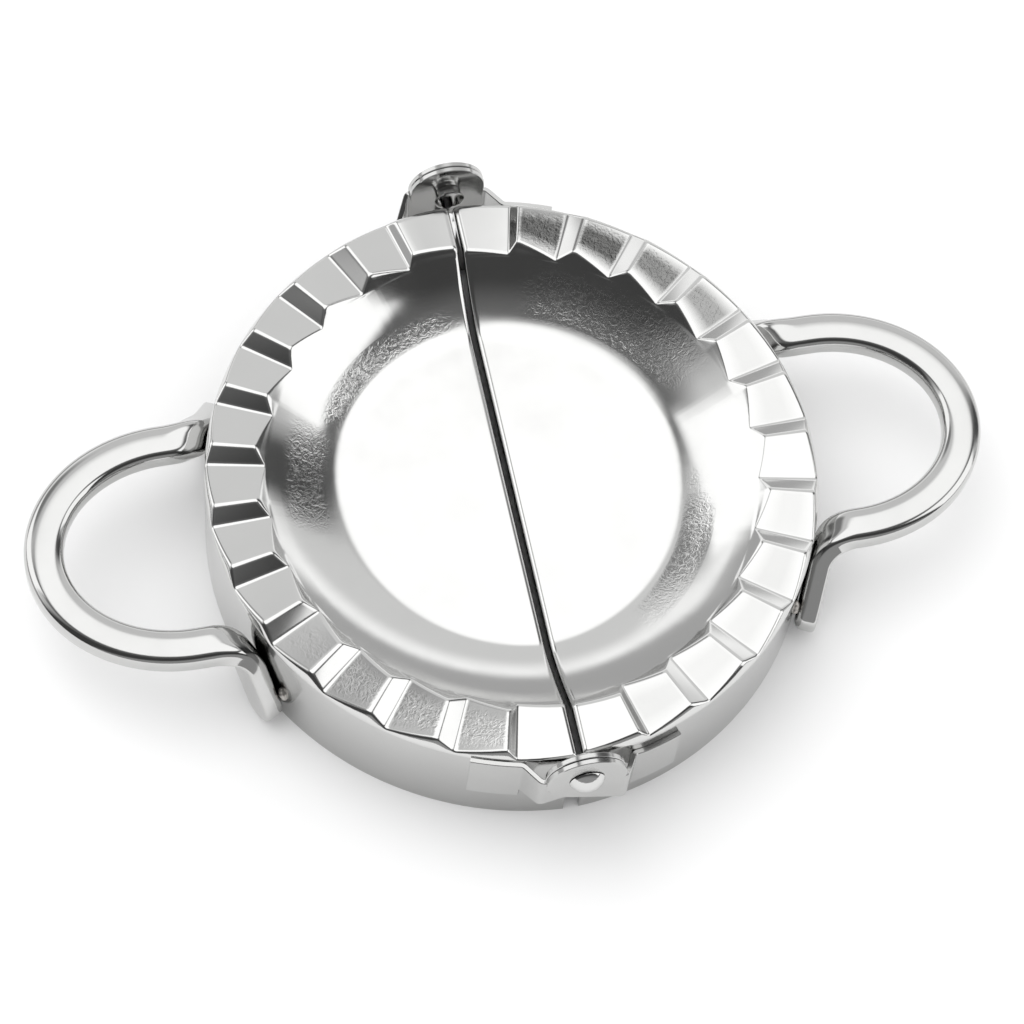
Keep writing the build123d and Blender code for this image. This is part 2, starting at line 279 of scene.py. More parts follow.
# %% Table and one soft lamp
table_mesh = bpy.data.meshes.new("white_table")
table_steps = 96
table_radius = 4.0
table_turns = [2 * math.pi * k / table_steps for k in range(table_steps)]
table_ring = [(table_radius * math.cos(a), table_radius * math.sin(a), 0.0) for a in table_turns]
table_mesh.from_pydata(table_ring, [], [tuple(range(table_steps))])
table = placed("white_table", table_mesh)
table_finish = bpy.data.materials.new("matt_laminate_white")
table_finish.use_nodes = True
tree = table_finish.node_tree
tree.nodes.clear()
diffuse = add_node(tree, "ShaderNodeBsdfDiffuse", {"Color": linear_colour("#f8f8f8")})
add_node(tree, "ShaderNodeOutputMaterial", {"Surface": diffuse.outputs[0]})
table_mesh.materials.append(table_finish)

lamp_data = bpy.data.lights.new("soft_overhead", "SUN")
lamp_data.energy = 0.8
lamp_data.angle = math.radians(50)
lamp = placed("soft_overhead", lamp_data)
lamp.rotation_euler = Vector((0.35, -0.35, -1.0)).to_track_quat("-Z", "Y").to_euler()
lamp.visible_glossy = False
print("table", table_radius, "m in radius; lamp", lamp_data.energy)

# %% [markdown]
# ## Steel finishes
# Every metal here is stainless steel, and what tells the pieces apart is how each was made.
# A principled shader with metallic 1 carries the colour of the steel's reflection, and its
# roughness and a slight bump carry the polish and the waves left by the press tool. All
# patterns use Object coordinates in metres, so they stay put on the metal when the press
# folds. The pressed sheet also carries two marks on its mesh: where it is swirled it has
# fine curled scratches of use, and where it is shaded its colour is darker, a painted darker
# reflection mixed with scoured dullness on some pads and painted shade low on the skirt.

# %% Maker of one steel finish
cloud_size = 9
wave_height = 0.1
curl_size = 0.9
curl_height = 0.09
curl_line = 0.035
scratch_roughness = 0.35
# Darker colour painted where the sheet is marked: painted shade and darker reflection, with some
# scoured dullness on pads.
shade_and_dull_tint = "#686867"


def steel_finish(name, tint, roughness, waviness, haze, wave_size, scratched_and_shaded=False):
    """A polished steel; with marks on, it is scratched and darkened with painted shade where its
    mesh is marked.
    """
    finish = bpy.data.materials.new(name)
    finish.use_nodes = True
    tree = finish.node_tree
    tree.nodes.clear()
    place = add_node(tree, "ShaderNodeTexCoord").outputs["Object"]
    wavy = {"Vector": place, "Scale": 1 / (wave_size * MM), "Detail": 1.0, "Roughness": 0.4}
    waves = add_node(tree, "ShaderNodeTexNoise", wavy).outputs["Fac"]
    cloudy = {"Vector": place, "Scale": 1 / (cloud_size * MM), "Detail": 4.0, "Roughness": 0.6}
    cloud = add_node(tree, "ShaderNodeTexNoise", cloudy).outputs["Fac"]
    hazy = {"Value": cloud, "From Min": 0.35, "From Max": 0.7}
    hazy |= {"To Min": roughness, "To Max": roughness + haze}
    polish = add_node(tree, "ShaderNodeMapRange", hazy).outputs["Result"]
    tints = {"Factor": cloud, "A": linear_colour(tint[0]), "B": linear_colour(tint[1])}
    tone = add_node(tree, "ShaderNodeMix", tints, data_type="RGBA").outputs["Result"]
    bumps = {"Height": waves, "Strength": waviness, "Distance": wave_height * MM}
    normal = add_node(tree, "ShaderNodeBump", bumps).outputs["Normal"]
    if scratched_and_shaded:
        tone, polish, normal = scratches_and_painted_shade(tree, place, tone, polish, normal)
    steel = {"Metallic": 1.0, "Base Color": tone, "Roughness": polish, "Normal": normal}
    shader = add_node(tree, "ShaderNodeBsdfPrincipled", steel)
    add_node(tree, "ShaderNodeOutputMaterial", {"Surface": shader.outputs[0]})
    return finish


def scratches_and_painted_shade(tree, place, tone, polish, normal):
    """Colour, roughness and normal with curled scratches, and with colour darkened by painted shade
    and reflection, where marked.
    """
    swirled = add_node(tree, "ShaderNodeAttribute", attribute_name="swirled").outputs["Fac"]
    shade_and_dull = add_node(tree, "ShaderNodeAttribute", attribute_name="shade_and_dull").outputs["Fac"]
    curly = {"Vector": place, "Scale": 1 / (curl_size * MM), "Detail": 2.0, "Roughness": 0.5}
    curls = add_node(tree, "ShaderNodeTexNoise", curly | {"Distortion": 1.6}).outputs["Fac"]
    off_line = worked_out(tree, "ABSOLUTE", worked_out(tree, "SUBTRACT", curls, 0.5))
    fading = {"Value": off_line, "From Max": curl_line, "To Min": 1.0, "To Max": 0.0}
    line = add_node(tree, "ShaderNodeMapRange", fading).outputs["Result"]
    scratch = worked_out(tree, "MULTIPLY", line, swirled)
    polish = worked_out(tree, "MULTIPLY_ADD", scratch, scratch_roughness, polish)
    # Painted shade: the colour darkens towards the shade tint where the sheet is marked.
    tints = {"Factor": shade_and_dull, "A": tone, "B": linear_colour(shade_and_dull_tint)}
    tone = add_node(tree, "ShaderNodeMix", tints, data_type="RGBA").outputs["Result"]
    ridges = {"Height": worked_out(tree, "MULTIPLY", curls, swirled), "Strength": 0.9}
    ridges |= {"Distance": curl_height * MM, "Normal": normal}
    return tone, polish, add_node(tree, "ShaderNodeBump", ridges).outputs["Normal"]


pressed_tint, bar_tint = ("#d8d8d7", "#d1d1d0"), ("#cdcdcc", "#c3c3c2")
strip_tint, rivet_tint = ("#c6c6c5", "#bdbdbc"), ("#d8d8d7", "#d0d0cf")
bead_tint = ("#c9c6c2", "#a9a5a0")
# The numbers of a finish are its roughness, waviness, haze and the size of a wave in mm.
pressed_steel = steel_finish(
    "polished_304_stainless_pressed", pressed_tint, 0.09, 0.10, 0.05, 7, scratched_and_shaded=True
)
bar_steel = steel_finish("polished_304_stainless_bar", bar_tint, 0.08, 0.05, 0.04, 5)
strip_steel = steel_finish("blanked_304_stainless_strip", strip_tint, 0.13, 0.08, 0.06, 4)
rivet_steel = steel_finish("headed_304_stainless_rivet", rivet_tint, 0.09, 0.05, 0.05, 3)
bead_steel = steel_finish("tig_bead_stainless", bead_tint, 0.28, 0.5, 0.15, 1)
print("finishes:", [m.name for m in bpy.data.materials if "stainless" in m.name])

# %% [markdown]
# ## Rounding a bent profile
# Sheet metal never turns a sharp corner. A bent line is rounded here by replacing each point
# with the mean of the line within a short reach on both sides: straight runs keep their
# place, and every corner turns into a smooth curve. The same rule serves the dish's profile,
# the bent hinge leaves and the rivets' outlines.

# %% Rounding rule
line_samples = 8001
line_margin = 5.0


def corner_places(corners):
    """Distance along a bent line to each of its corners."""
    runs = np.linalg.norm(np.diff(np.array(corners, float), axis=0), axis=1)
    return np.concatenate([[0.0], np.cumsum(runs)])


def rounded_line(corners, stations, reaches):
    """Points of a bent line at the given distances along it, each averaged over its reach."""
    corners = np.array(corners, float)
    places = corner_places(corners)
    first = corners[0] - (corners[1] - corners[0]) / places[1] * line_margin
    last_run = places[-1] - places[-2]
    last = corners[-1] + (corners[-1] - corners[-2]) / last_run * line_margin
    knots = np.concatenate([[-line_margin], places, [places[-1] + line_margin]])
    table = np.vstack([first, corners, last])
    fine = np.linspace(knots[0], knots[-1], line_samples)
    step = fine[1] - fine[0]
    means = []
    for axis in range(table.shape[1]):
        value = np.interp(fine, knots, table[:, axis])
        area = np.concatenate([[0.0], np.cumsum((value[1:] + value[:-1]) / 2 * step)])
        above = np.interp(stations + reaches, fine, area)
        below = np.interp(stations - reaches, fine, area)
        means.append((above - below) / (2 * reaches))
    return np.array(means).T


right_angle = [(0, 5), (0, 0), (5, 0)]
print("a right angle rounds to", rounded_line(right_angle, np.array([5.0]), np.array([1.0])))

# %% [markdown]
# ## The dish's profile
# From the middle out, the sheet is a flat floor, a wall that curves up to the rim, the
# rim's flat land, and the upright skirt. On a crest of the rim the land is higher and
# shorter than in a valley. Both profiles are sampled at matching stations, so that the rim
# can be drawn as one surface that moves between them.

# %% Profiles at a crest and at a valley
top_round = 0.5
under_round = 0.22
wall_steps = 14
bend_steps = 6
middle_radius = 20.0
skirt_heights = (skirt_end_height, 13.0, 10.0, 7.0, 4.0, 1.5, 0.3, 0.0)


def wall_points(top, drop):
    """Points of the wall, from the flat floor to the rim: a bend, then a long shallow arc."""
    run, rise = top - floor_radius, valley_height - floor_height
    chord = math.hypot(run, rise)
    radius = (chord**2 / 4 + wall_sag**2) / (2 * wall_sag)
    half_turn = math.asin(chord / 2 / radius)
    chord_slope = math.atan2(rise, run)
    start_slope, end_slope = chord_slope - half_turn, chord_slope + half_turn
    middle_x = floor_radius - radius * math.sin(start_slope)
    middle_z = floor_height - drop + radius * math.cos(start_slope)
    bend_z = floor_height - drop + floor_bend
    reach = radius - floor_bend
    meeting = math.acos((middle_z - bend_z) / reach)
    bend_x = middle_x + reach * math.sin(meeting)

    def arc(x, z, size, slopes):
        """Points of an arc that turns up from level, at the given slopes."""
        return [(x + size * math.sin(slope), z - size * math.cos(slope)) for slope in slopes]

    bend = arc(bend_x, bend_z, floor_bend, np.linspace(0, meeting, bend_steps))
    return bend + arc(middle_x, middle_z, radius, np.linspace(meeting, end_slope, wall_steps)[1:])


def dish_corners(share, drop, inset):
    """Corners of the profile, as radius and height; share is 0 at a crest and 1 at a valley."""
    wall_top = valley_inner_radius + inset
    skirt = skirt_radius - inset
    land_height = valley_height + wave_depth * (1 - share) - drop
    corners = [(middle_radius, floor_height - drop)] + wall_points(wall_top, drop)
    corners.append((wall_top + crest_inner_setback * (1 - share), land_height))
    corners.append((skirt - crest_outer_setback * (1 - share), land_height))
    return corners + [(skirt, valley_height - drop), (skirt, 0.0)]


def dish_stations(share, drop, inset, rounding):
    """Distances along the profile and the reach of each, the same count for any share."""
    at = corner_places(dish_corners(share, drop, inset))
    band_top, land_in, land_out, skirt_top, bottom = at[-5:]
    wall = at[1:-5]

    def beside(corner, *steps):
        """Places beside a corner, counted in roundings."""
        return [corner + step * rounding for step in steps]

    def inward(first, last, *parts):
        """Places at shares of the way between two corners."""
        return [first + (last - first) * part for part in parts]

    rounded = beside(band_top, -1.3, -0.9, -0.5) + inward(band_top, land_in, 0, 0.25, 0.5, 0.75)
    rounded += beside(land_in, 0, 0.5, 1, 1.3) + inward(land_in, land_out, 0.33, 0.67)
    rounded += beside(land_out, -1.3, -1, -0.5, 0) + inward(land_out, skirt_top, 0.33, 0.67)
    rounded += beside(skirt_top, 0, 0.5, 1, 1.3)
    rounded += inward(rounded[-1], bottom - skirt_end_height, 0.5)
    places = [(place, 0.5) for place in (wall[0] - 1.2, wall[0] - 0.5, *wall[:-2])]
    places += [(place, rounding) for place in rounded]
    places += [(bottom - height, 0.05) for height in skirt_heights]
    return np.array(places)


def dish_profile(share, drop, inset, rounding):
    """Rounded profile as rows of radius and height."""
    places = dish_stations(share, drop, inset, rounding)
    return rounded_line(dish_corners(share, drop, inset), places[:, 0], places[:, 1])


top_crest = dish_profile(0, 0, 0, top_round)
top_valley = dish_profile(1, 0, 0, top_round)
under_crest = dish_profile(0, sheet, sheet, under_round)
under_valley = dish_profile(1, sheet, sheet, under_round)
lip_rows = [k for k, row in enumerate(top_valley) if abs(row[1] - skirt_end_height) < 0.02]
last_lip_row = max(lip_rows)
print("profile rows:", len(top_crest), "lip ends at row", last_lip_row)

# %% [markdown]
# ## The blank of one half
# The blank is the half before its rim is crimped, with the rim at the height of its
# valleys. It is a grid: rows follow the profile and columns go round the half, closer
# together where a crease will be. Each point keeps two attributes: how many pads it lies
# from the slit, and how far the crimping tool would lift it on a crest. The straight edge
# is turned down in a soft lip, and the underside repeats every face one sheet lower.

# %% Columns of the blank
rim_middle_radius = 44
crease = math.degrees(top_round / rim_middle_radius)
crest_turns = [k * wave_turn + step_angle / 2 for k in range(1, pads_per_half)]
valley_turns = [k * wave_turn - step_angle / 2 for k in range(1, pads_per_half)]
valley_turns[0] = end_pad_angle
crest_turns[-1] = 180 - end_pad_angle
regular = [0.53]
shifted = [0.0]
for k in range(1, pads_per_half):
    regular += [k - step_angle / 2 / wave_turn, k + step_angle / 2 / wave_turn]
    shifted += [valley_turns[k - 1], crest_turns[k - 1]]
regular.append(pads_per_half - 0.5)
shifted.append(180.0)
turns = []
for k in range(pads_per_half - 1):
    valley, crest = valley_turns[k], crest_turns[k]
    near = min(crease, (crest - valley) / 2.7)
    turns += [valley - 1.3 * crease, valley - crease, valley - crease / 2, valley]
    turns += [valley + near / 2, valley + near, crest - near, crest - near / 2]
    turns += [crest, crest + crease / 2, crest + crease, crest + 1.3 * crease]
    if k < pads_per_half - 2:
        gap = valley_turns[k + 1] - crest - 2.6 * crease
        turns += [crest + 1.3 * crease + gap * part for part in (0.25, 0.5, 0.75)]
end_shares = [0.0, 0.03, 0.1, 0.35, 0.65, 0.9]
columns = len(turns) + 2 * len(end_shares)
print("columns round one half:", columns)


def column_turn(column, radius):
    """Turn of a column at a radius; the end columns fan out from the slit's straight edge."""
    edge = math.degrees(math.asin((centre_shift + lip_line) / radius))
    ends = len(end_shares)
    if column < ends:
        return edge + (turns[0] - edge) * end_shares[column]
    if column >= columns - ends:
        return 180 - edge + (turns[-1] - 180 + edge) * end_shares[columns - 1 - column]
    return turns[column - ends]


# %% [markdown]
# Use leaves marks on the sheet, and some darkening is painted shade. Some pads and parts of
# the wall are scoured with curled scratches. Some pads are darker, partly scoured dullness and
# partly a painted darker reflection, and the skirt darkens towards its lower edge with painted
# shade. Each mark is a strength from 0 to 1 on the points of the blank. Pads are counted
# clockwise from the slit's end, and a mark on the wall has the turns where it starts and
# ends, its inner and outer radius and its strength.

# %% Marks of use
pad_marks = {
    1: {1: 0.95, 2: 1.0, 3: 0.85, 4: 0.7, 5: 0.15, 6: 0.12, 8: 0.1, 9: 0.16}
    | {10: 0.12, 11: 0.12, 12: 0.14},
    -1: {1: 0.6, 2: 0.65, 3: 0.5, 4: 0.15},
}
wall_marks = {
    1: ((14, 70, 30.5, 39.0, 0.5), (100, 150, 27.8, 33.0, 0.6), (92, 104, 28.0, 31.0, 0.5)),
    -1: ((84, 118, 29.5, 36.5, 0.5), (118, 175, 29.0, 33.0, 0.5)),
}
# Painted shade on the skirt: its least darkening, and what is added towards the lower edge.
skirt_painted_shade = (0.16, 0.3)


def inside(value, low, high, soft):
    """Share 1 well inside a range and 0 outside, with a soft change at its ends."""
    rise = np.clip((value - low) / soft, 0, 1)
    return rise * np.clip((high - value) / soft, 0, 1)


def handling_marks(points, places, side):
    """How strongly each point of the sheet is scratched by use, and how strongly it is darkened by
    painted shade.
    """
    x, y = points[:, 0] + centre_shift, points[:, 1]
    radius = np.hypot(x, y)
    turn = np.degrees(np.arctan2(x, y))
    swirled, shade_and_dull = np.zeros(len(points)), np.zeros(len(points))
    on_land = inside(radius, valley_inner_radius + 1.4, skirt_radius - 0.7, 0.9)
    for pad, amount in pad_marks[side].items():
        mark = amount * on_land * inside(places, pad + 0.14, pad + 0.86, 0.06)
        swirled = np.maximum(swirled, mark)
        # On the right half the marked pads are also darkened: painted darker reflection along with
        # scoured dullness.
        if side == 1:
            shade_and_dull = np.maximum(shade_and_dull, mark)
    # Painted shade: the skirt is darker towards its lower edge.
    on_skirt = inside(radius, skirt_radius - 1.0, skirt_radius + 2.0, 0.2)
    lowness = np.clip((valley_height - points[:, 2]) / valley_height, 0, 1)
    skirt_shade_mark = on_skirt * (skirt_painted_shade[0] + skirt_painted_shade[1] * lowness) * (lowness > 0.03)
    for start, end, inner, outer, amount in wall_marks[side]:
        mark = amount * inside(turn, start, end, 8) * inside(radius, inner, outer, 1.2)
        swirled = np.maximum(swirled, mark)
    return swirled, np.maximum(shade_and_dull, skirt_shade_mark)


print("marked pads:", {side: len(marks) for side, marks in pad_marks.items()})

# %% [markdown]
# The grid, the lip and the floor are joined in one list of faces, and the same list is used
# again for the underside. Wherever an edge belongs to only one face, a wall joins the top to
# the underside, so the sheet is closed all round.

# %% Points and faces of the blank
seam_steps = 25
lip_strip = 0.4
least_skirt_radius = 45
lip_angles = (22.5, 45.0, 67.5, 90.0, 91.0, 92.0)


def sheet_side(crest_rows, valley_rows, lowered):
    """One side of the sheet: points, pad places, crest lifts, and the indices of its seams."""
    points, places, lifts = [], [], []
    for (radius, height), gain in zip(valley_rows, crest_rows - valley_rows):
        for column in range(columns):
            angle = column_turn(column, radius)
            outward = np.array([math.sin(math.radians(angle)), math.cos(math.radians(angle))])
            x, y = radius * outward[0] - centre_shift, radius * outward[1]
            end = min(column, columns - 1 - column)
            straight = 1 - end_shares[end] if end < len(end_shares) else 0.0
            way = outward * (1 - straight) + np.array([0.0, math.copysign(1, y)]) * straight
            points.append((x, y, height))
            places.append(float(np.interp(angle, shifted, regular)))
            lifts.append((way[0] * gain[0], way[1] * gain[0], gain[1]))
    inner_y = math.sqrt(valley_rows[0][0] ** 2 - (centre_shift + lip_line) ** 2)
    seams = []
    for x in (lip_line, lip_line + lip_strip):
        across = [(x, inner_y * part, valley_rows[0][1]) for part in np.linspace(-1, 1, seam_steps)]
        seams.append(list(range(len(points), len(points) + seam_steps - 2)))
        points += across[1:-1]
        places += [0.5] * (seam_steps - 2)
        lifts += [(0.0, 0.0, 0.0)] * (seam_steps - 2)
    front = [row * columns + columns - 1 for row in range(last_lip_row, -1, -1)]
    lip_grid = [front + seams[0] + [row * columns for row in range(last_lip_row + 1)]]
    bend = lip_round - lowered
    for angle in lip_angles:
        made = []
        for index in lip_grid[0]:
            x, y, z = points[index]
            row = index // columns if index < len(valley_rows) * columns else 0
            radius, height = valley_rows[row]
            on_skirt = height < valley_height - 0.2 and radius > least_skirt_radius
            full = bend if on_skirt else lip_drop - lowered
            sideways, depth = bend, bend + (full - bend) * (angle - 90) / 2
            if angle <= 90:
                sideways = bend * math.sin(math.radians(angle))
                depth = bend * (1 - math.cos(math.radians(angle)))
            made.append(len(points))
            if on_skirt:
                points.append((x - sideways, y - math.copysign(depth, y), z))
            else:
                points.append((x - sideways, y, z - depth))
            places.append(places[index])
            lifts.append(lifts[index])
        lip_grid.append(made)
    return points, places, lifts, lip_grid, seams


def half_blank(name, side):
    """Uncrimped half as a mesh with the attributes of its points; side is 1 or -1."""
    top, top_places, top_lifts, lip_grid, seams = sheet_side(top_crest, top_valley, 0.0)
    below, below_places, below_lifts, _, _ = sheet_side(under_crest, under_valley, sheet)
    faces = []
    for row in range(len(top_valley) - 1):
        for column in range(columns - 1):
            a = row * columns + column
            faces.append((a, a + 1, a + 1 + columns, a + columns))
    for near, far in zip(lip_grid[:-1], lip_grid[1:]):
        for step in range(len(near) - 1):
            faces.append((near[step], near[step + 1], far[step + 1], far[step]))
    outer = [columns - 1] + seams[0] + [0]
    inner = [columns - 2] + seams[1] + [1]
    for step in range(len(outer) - 1):
        faces.append((outer[step + 1], outer[step], inner[step], inner[step + 1]))
    faces.append(tuple(reversed(list(range(1, columns - 1)) + seams[1])))
    count = len(top)
    used = {(a, b) for face in faces for a, b in zip(face, face[1:] + face[:1])}
    walls = [(b, a, a + count, b + count) for a, b in used if (b, a) not in used]
    under = [tuple(index + count for index in reversed(face)) for face in faces]
    points = np.array(top + below)
    places = np.array(top_places + below_places)
    turned = np.array([side, side, 1.0])
    lifts = np.array(top_lifts + below_lifts) * turned * MM
    mesh = bpy.data.meshes.new(name)
    mesh.from_pydata((points * turned * MM).tolist(), [], faces + under + walls)
    swirled, shade_and_dull = handling_marks(points, places, side)
    lift_mark = mesh.attributes.new("crest_lift", "FLOAT_VECTOR", "POINT")
    lift_mark.data.foreach_set("vector", lifts.ravel())
    for label, values in (("pad_place", places), ("swirled", swirled), ("shade_and_dull", shade_and_dull)):
        mesh.attributes.new(label, "FLOAT", "POINT").data.foreach_set("value", values)
    return placed(name, mesh)


right_shell = half_blank("right_dish", 1)
left_shell = half_blank("left_dish", -1)
print("blank points:", len(right_shell.data.vertices), "faces:", len(right_shell.data.polygons))

# %% [markdown]
# ## Crimping the rim with Geometry Nodes
# The rim's pads follow a rule, so a node tree presses them. Across one pad the rim falls
# slowly from a crest to a valley, and a steep step lifts it to the next crest. Three straight
# lines give that saw: a smooth minimum rounds the crest where two of them meet, and a smooth
# maximum rounds the valley. The result says how much of its crest lift each point gets.

# %% Node tree of the crimping tool
crimp = bpy.data.node_groups.new("crimping_tool", "GeometryNodeTree")
crimp.interface.new_socket("Geometry", in_out="INPUT", socket_type="NodeSocketGeometry")
for label in ("Step share", "Crest rounding", "Valley rounding", "Press depth"):
    crimp.interface.new_socket(label, in_out="INPUT", socket_type="NodeSocketFloat")
crimp.interface.new_socket("Finish", in_out="INPUT", socket_type="NodeSocketMaterial")
crimp.interface.new_socket("Geometry", in_out="OUTPUT", socket_type="NodeSocketGeometry")
given = add_node(crimp, "NodeGroupInput").outputs


def kept_value(name, kind):
    """Output that reads a named value of the points."""
    node = add_node(crimp, "GeometryNodeInputNamedAttribute", {"Name": name}, data_type=kind)
    return node.outputs["Attribute"]


def figured(operation, *values):
    """One arithmetic step of the rule."""
    return worked_out(crimp, operation, *values)


def saw_line(place, zero, one):
    """Straight line that is 0 where the place is zero and 1 where it is one."""
    ends = {"Value": place, "From Min": zero, "From Max": one}
    return add_node(crimp, "ShaderNodeMapRange", ends, clamp=False).outputs["Result"]


along_pad = figured("FRACT", kept_value("pad_place", "FLOAT"))
half_step = figured("MULTIPLY", given["Step share"], 0.5)
before_step = figured("SUBTRACT", 1.0, half_step)
after_step = figured("ADD", 1.0, half_step)
rise_left = saw_line(along_pad, figured("MULTIPLY", half_step, -1.0), half_step)
fall = saw_line(along_pad, before_step, half_step)
rise_right = saw_line(along_pad, before_step, after_step)
crest = figured("SMOOTH_MIN", rise_left, fall, given["Crest rounding"])
saw = figured("SMOOTH_MAX", crest, rise_right, given["Valley rounding"])
lift = {0: kept_value("crest_lift", "FLOAT_VECTOR")}
lift["Scale"] = figured("MULTIPLY", saw, given["Press depth"])
shift = add_node(crimp, "ShaderNodeVectorMath", lift, operation="SCALE").outputs["Vector"]
work = {"Geometry": given["Geometry"], "Offset": shift}
work = {"Geometry": add_node(crimp, "GeometryNodeSetPosition", work).outputs["Geometry"]}
work = {"Geometry": add_node(crimp, "GeometryNodeRealizeInstances", work).outputs["Geometry"]}
work["Material"] = given["Finish"]
work = {"Geometry": add_node(crimp, "GeometryNodeSetMaterial", work).outputs["Geometry"]}
add_node(crimp, "NodeGroupOutput", work)
print("crimping tool:", len(crimp.nodes), "nodes")

# %% [markdown]
# The tool is set by its named inputs before the half is first evaluated. The pressed result
# is then copied to a plain mesh, points that fell together are merged, and only the cut
# edges of the sheet stay sharp.

# %% Press both rims
def plain_mesh(thing, merge_mm, sharp_degrees):
    """Replaces a built object's mesh by its evaluated one, merged and shaded smooth."""
    depsgraph = bpy.context.evaluated_depsgraph_get()
    made = bpy.data.meshes.new_from_object(thing.evaluated_get(depsgraph))
    thing.modifiers.clear()
    thing.data = made
    made.name = thing.name
    shape = bmesh.new()
    shape.from_mesh(made)
    bmesh.ops.remove_doubles(shape, verts=shape.verts, dist=merge_mm * MM)
    bmesh.ops.dissolve_degenerate(shape, edges=shape.edges, dist=merge_mm * MM / 2)
    shape.to_mesh(made)
    open_edges = sum(1 for edge in shape.edges if len(edge.link_faces) != 2)
    volume = shape.calc_volume(signed=True) * 1e9
    shape.free()
    for polygon in made.polygons:
        polygon.use_smooth = True
    made.set_sharp_from_angle(angle=math.radians(sharp_degrees))
    counts = (thing.name, len(made.polygons), open_edges, volume)
    print("%s: %d faces, %d open edges, %.0f cubic mm" % counts)
    return thing


settings = {
    "Step share": step_angle / wave_turn,
    "Crest rounding": 0.32,
    "Valley rounding": 0.2,
    "Press depth": 1.0,
    "Finish": pressed_steel,
}
inputs = [item for item in crimp.interface.items_tree if item.in_out == "INPUT"]
sockets = {item.name: item.identifier for item in inputs}
for shell, body, node in (
    (right_shell, "right_half", "right_shell"),
    (left_shell, "left_half", "left_shell"),
):
    tool = shell.modifiers.new("crimping_tool", "NODES")
    tool.node_group = crimp
    for label, value in settings.items():
        tool[sockets[label]] = value
    plain_mesh(shell, merge_mm=0.004, sharp_degrees=48)
    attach(shell, body)
    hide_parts(node)

# %% [markdown]
# ## The handles
# Each handle is one bar of steel, flat below and well rounded above, bent into a loop. Its
# two ends fold down over the skirt and are welded there by their tips. The bar could be a
# curve with a bevel, but a curve twists as it folds down. Here each cross-section is set one
# by one: its crown points up along the loop and swings round to face the skirt in the fold.

# %% Cross-section of the bar
handle_top = 15.9
handle_offset = 1.2
loop_start = 52.0
loop_length = 20.1
loop_half_width = 17.4
bar_width = 6.0
bar_thickness = 3.5
bar_crown = 2.1
bar_squareness = 0.62
bar_under_round = 0.6
bend_run = 4.6
fold_steps, loop_steps, tip_steps = 17, 65, 9
foot_tip_turn = 29.0
foot_tip_height = 0.9
foot_seat = 0.03
bar_middle = handle_top - bar_thickness / 2


def bar_outline():
    """Points of the section, across and up, starting at the middle of its upper face."""
    wide, high = bar_width / 2, bar_thickness / 2
    half = []
    for a in np.radians(np.linspace(90, 0, 15)):
        crown = bar_crown * math.sin(a) ** bar_squareness
        half.append((wide * math.cos(a) ** bar_squareness, high - bar_crown + crown))
    for a in np.radians(np.linspace(0, -90, 6)):
        across = wide - bar_under_round + bar_under_round * math.cos(a)
        half.append((across, -high + bar_under_round + bar_under_round * math.sin(a)))
    half.append((0.0, -high))
    return half + [(-x, y) for x, y in reversed(half[1:-1])]


section = bar_outline()
print("section points:", len(section))

# %% [markdown]
# The middle line of the bar is a straight arm, a half ellipse and the second arm, then a
# smooth fold and a straight foot at each end. The foot's tip is round, so there the two
# sides of the section swing together until they meet.

# %% Stations along the bar
def fold_places(side):
    """Fold and foot of one end: rows of origin, crown and heading, from the tip to the arm."""
    arm_y = handle_offset + side * loop_half_width
    seat = skirt_radius + foot_seat + bar_thickness / 2
    arm_turn = math.degrees(math.asin(arm_y / seat))
    seat_turn = math.radians((arm_turn + side * foot_tip_turn) / 2)
    outward = np.array([math.cos(seat_turn), math.sin(seat_turn), 0.0])
    along = np.array([-math.sin(seat_turn), math.cos(seat_turn), 0.0])
    corner_x = -centre_shift + (seat - arm_y * outward[1]) / outward[0]
    corner = np.array([corner_x, arm_y, bar_middle])
    tip_run = seat * (math.radians(side * foot_tip_turn) - seat_turn)
    tip = outward * seat + along * tip_run
    tip += np.array([-centre_shift, 0.0, foot_tip_height + bar_width / 2])
    down = (tip - corner) / np.linalg.norm(tip - corner)
    arm_end = corner + np.array([bend_run, 0.0, 0.0])
    foot_start = corner + down * bend_run
    rows = []
    for part in np.linspace(0, 1, 6)[:-1]:
        rows.append((tip + (foot_start - tip) * part, -outward, -down))
    for part in np.linspace(1, 0, fold_steps):
        origin = arm_end * (1 - part) ** 2 + corner * 2 * part * (1 - part)
        origin = origin + foot_start * part**2
        heading = (corner - arm_end) * (1 - part) + (foot_start - corner) * part
        heading = -heading / np.linalg.norm(heading)
        crown = np.array([0.0, 0.0, 1.0]) * (1 - part) - outward * part
        crown = crown - heading * crown.dot(heading)
        rows.append((origin, crown / np.linalg.norm(crown), heading))
    return rows


def arm_places(fold, parts, way):
    """Stations of the straight arm between a fold and the loop, at shares of its length."""
    start_x, arm_y = fold[-1][0][:2]
    heading = np.array([way, 0.0, 0.0])
    reaches = [start_x + (loop_start - start_x) * part for part in parts]
    return [(np.array([x, arm_y, bar_middle]), upright, heading) for x in reaches]


def loop_places():
    """Stations round the half ellipse of the loop."""
    rows = []
    for a in np.radians(np.linspace(-90, 90, loop_steps)):
        x = loop_start + loop_length * math.cos(a)
        y = handle_offset + loop_half_width * math.sin(a)
        heading = np.array([-loop_length * math.sin(a), loop_half_width * math.cos(a), 0.0])
        heading = heading / np.linalg.norm(heading)
        rows.append((np.array([x, y, bar_middle]), upright, heading))
    return rows


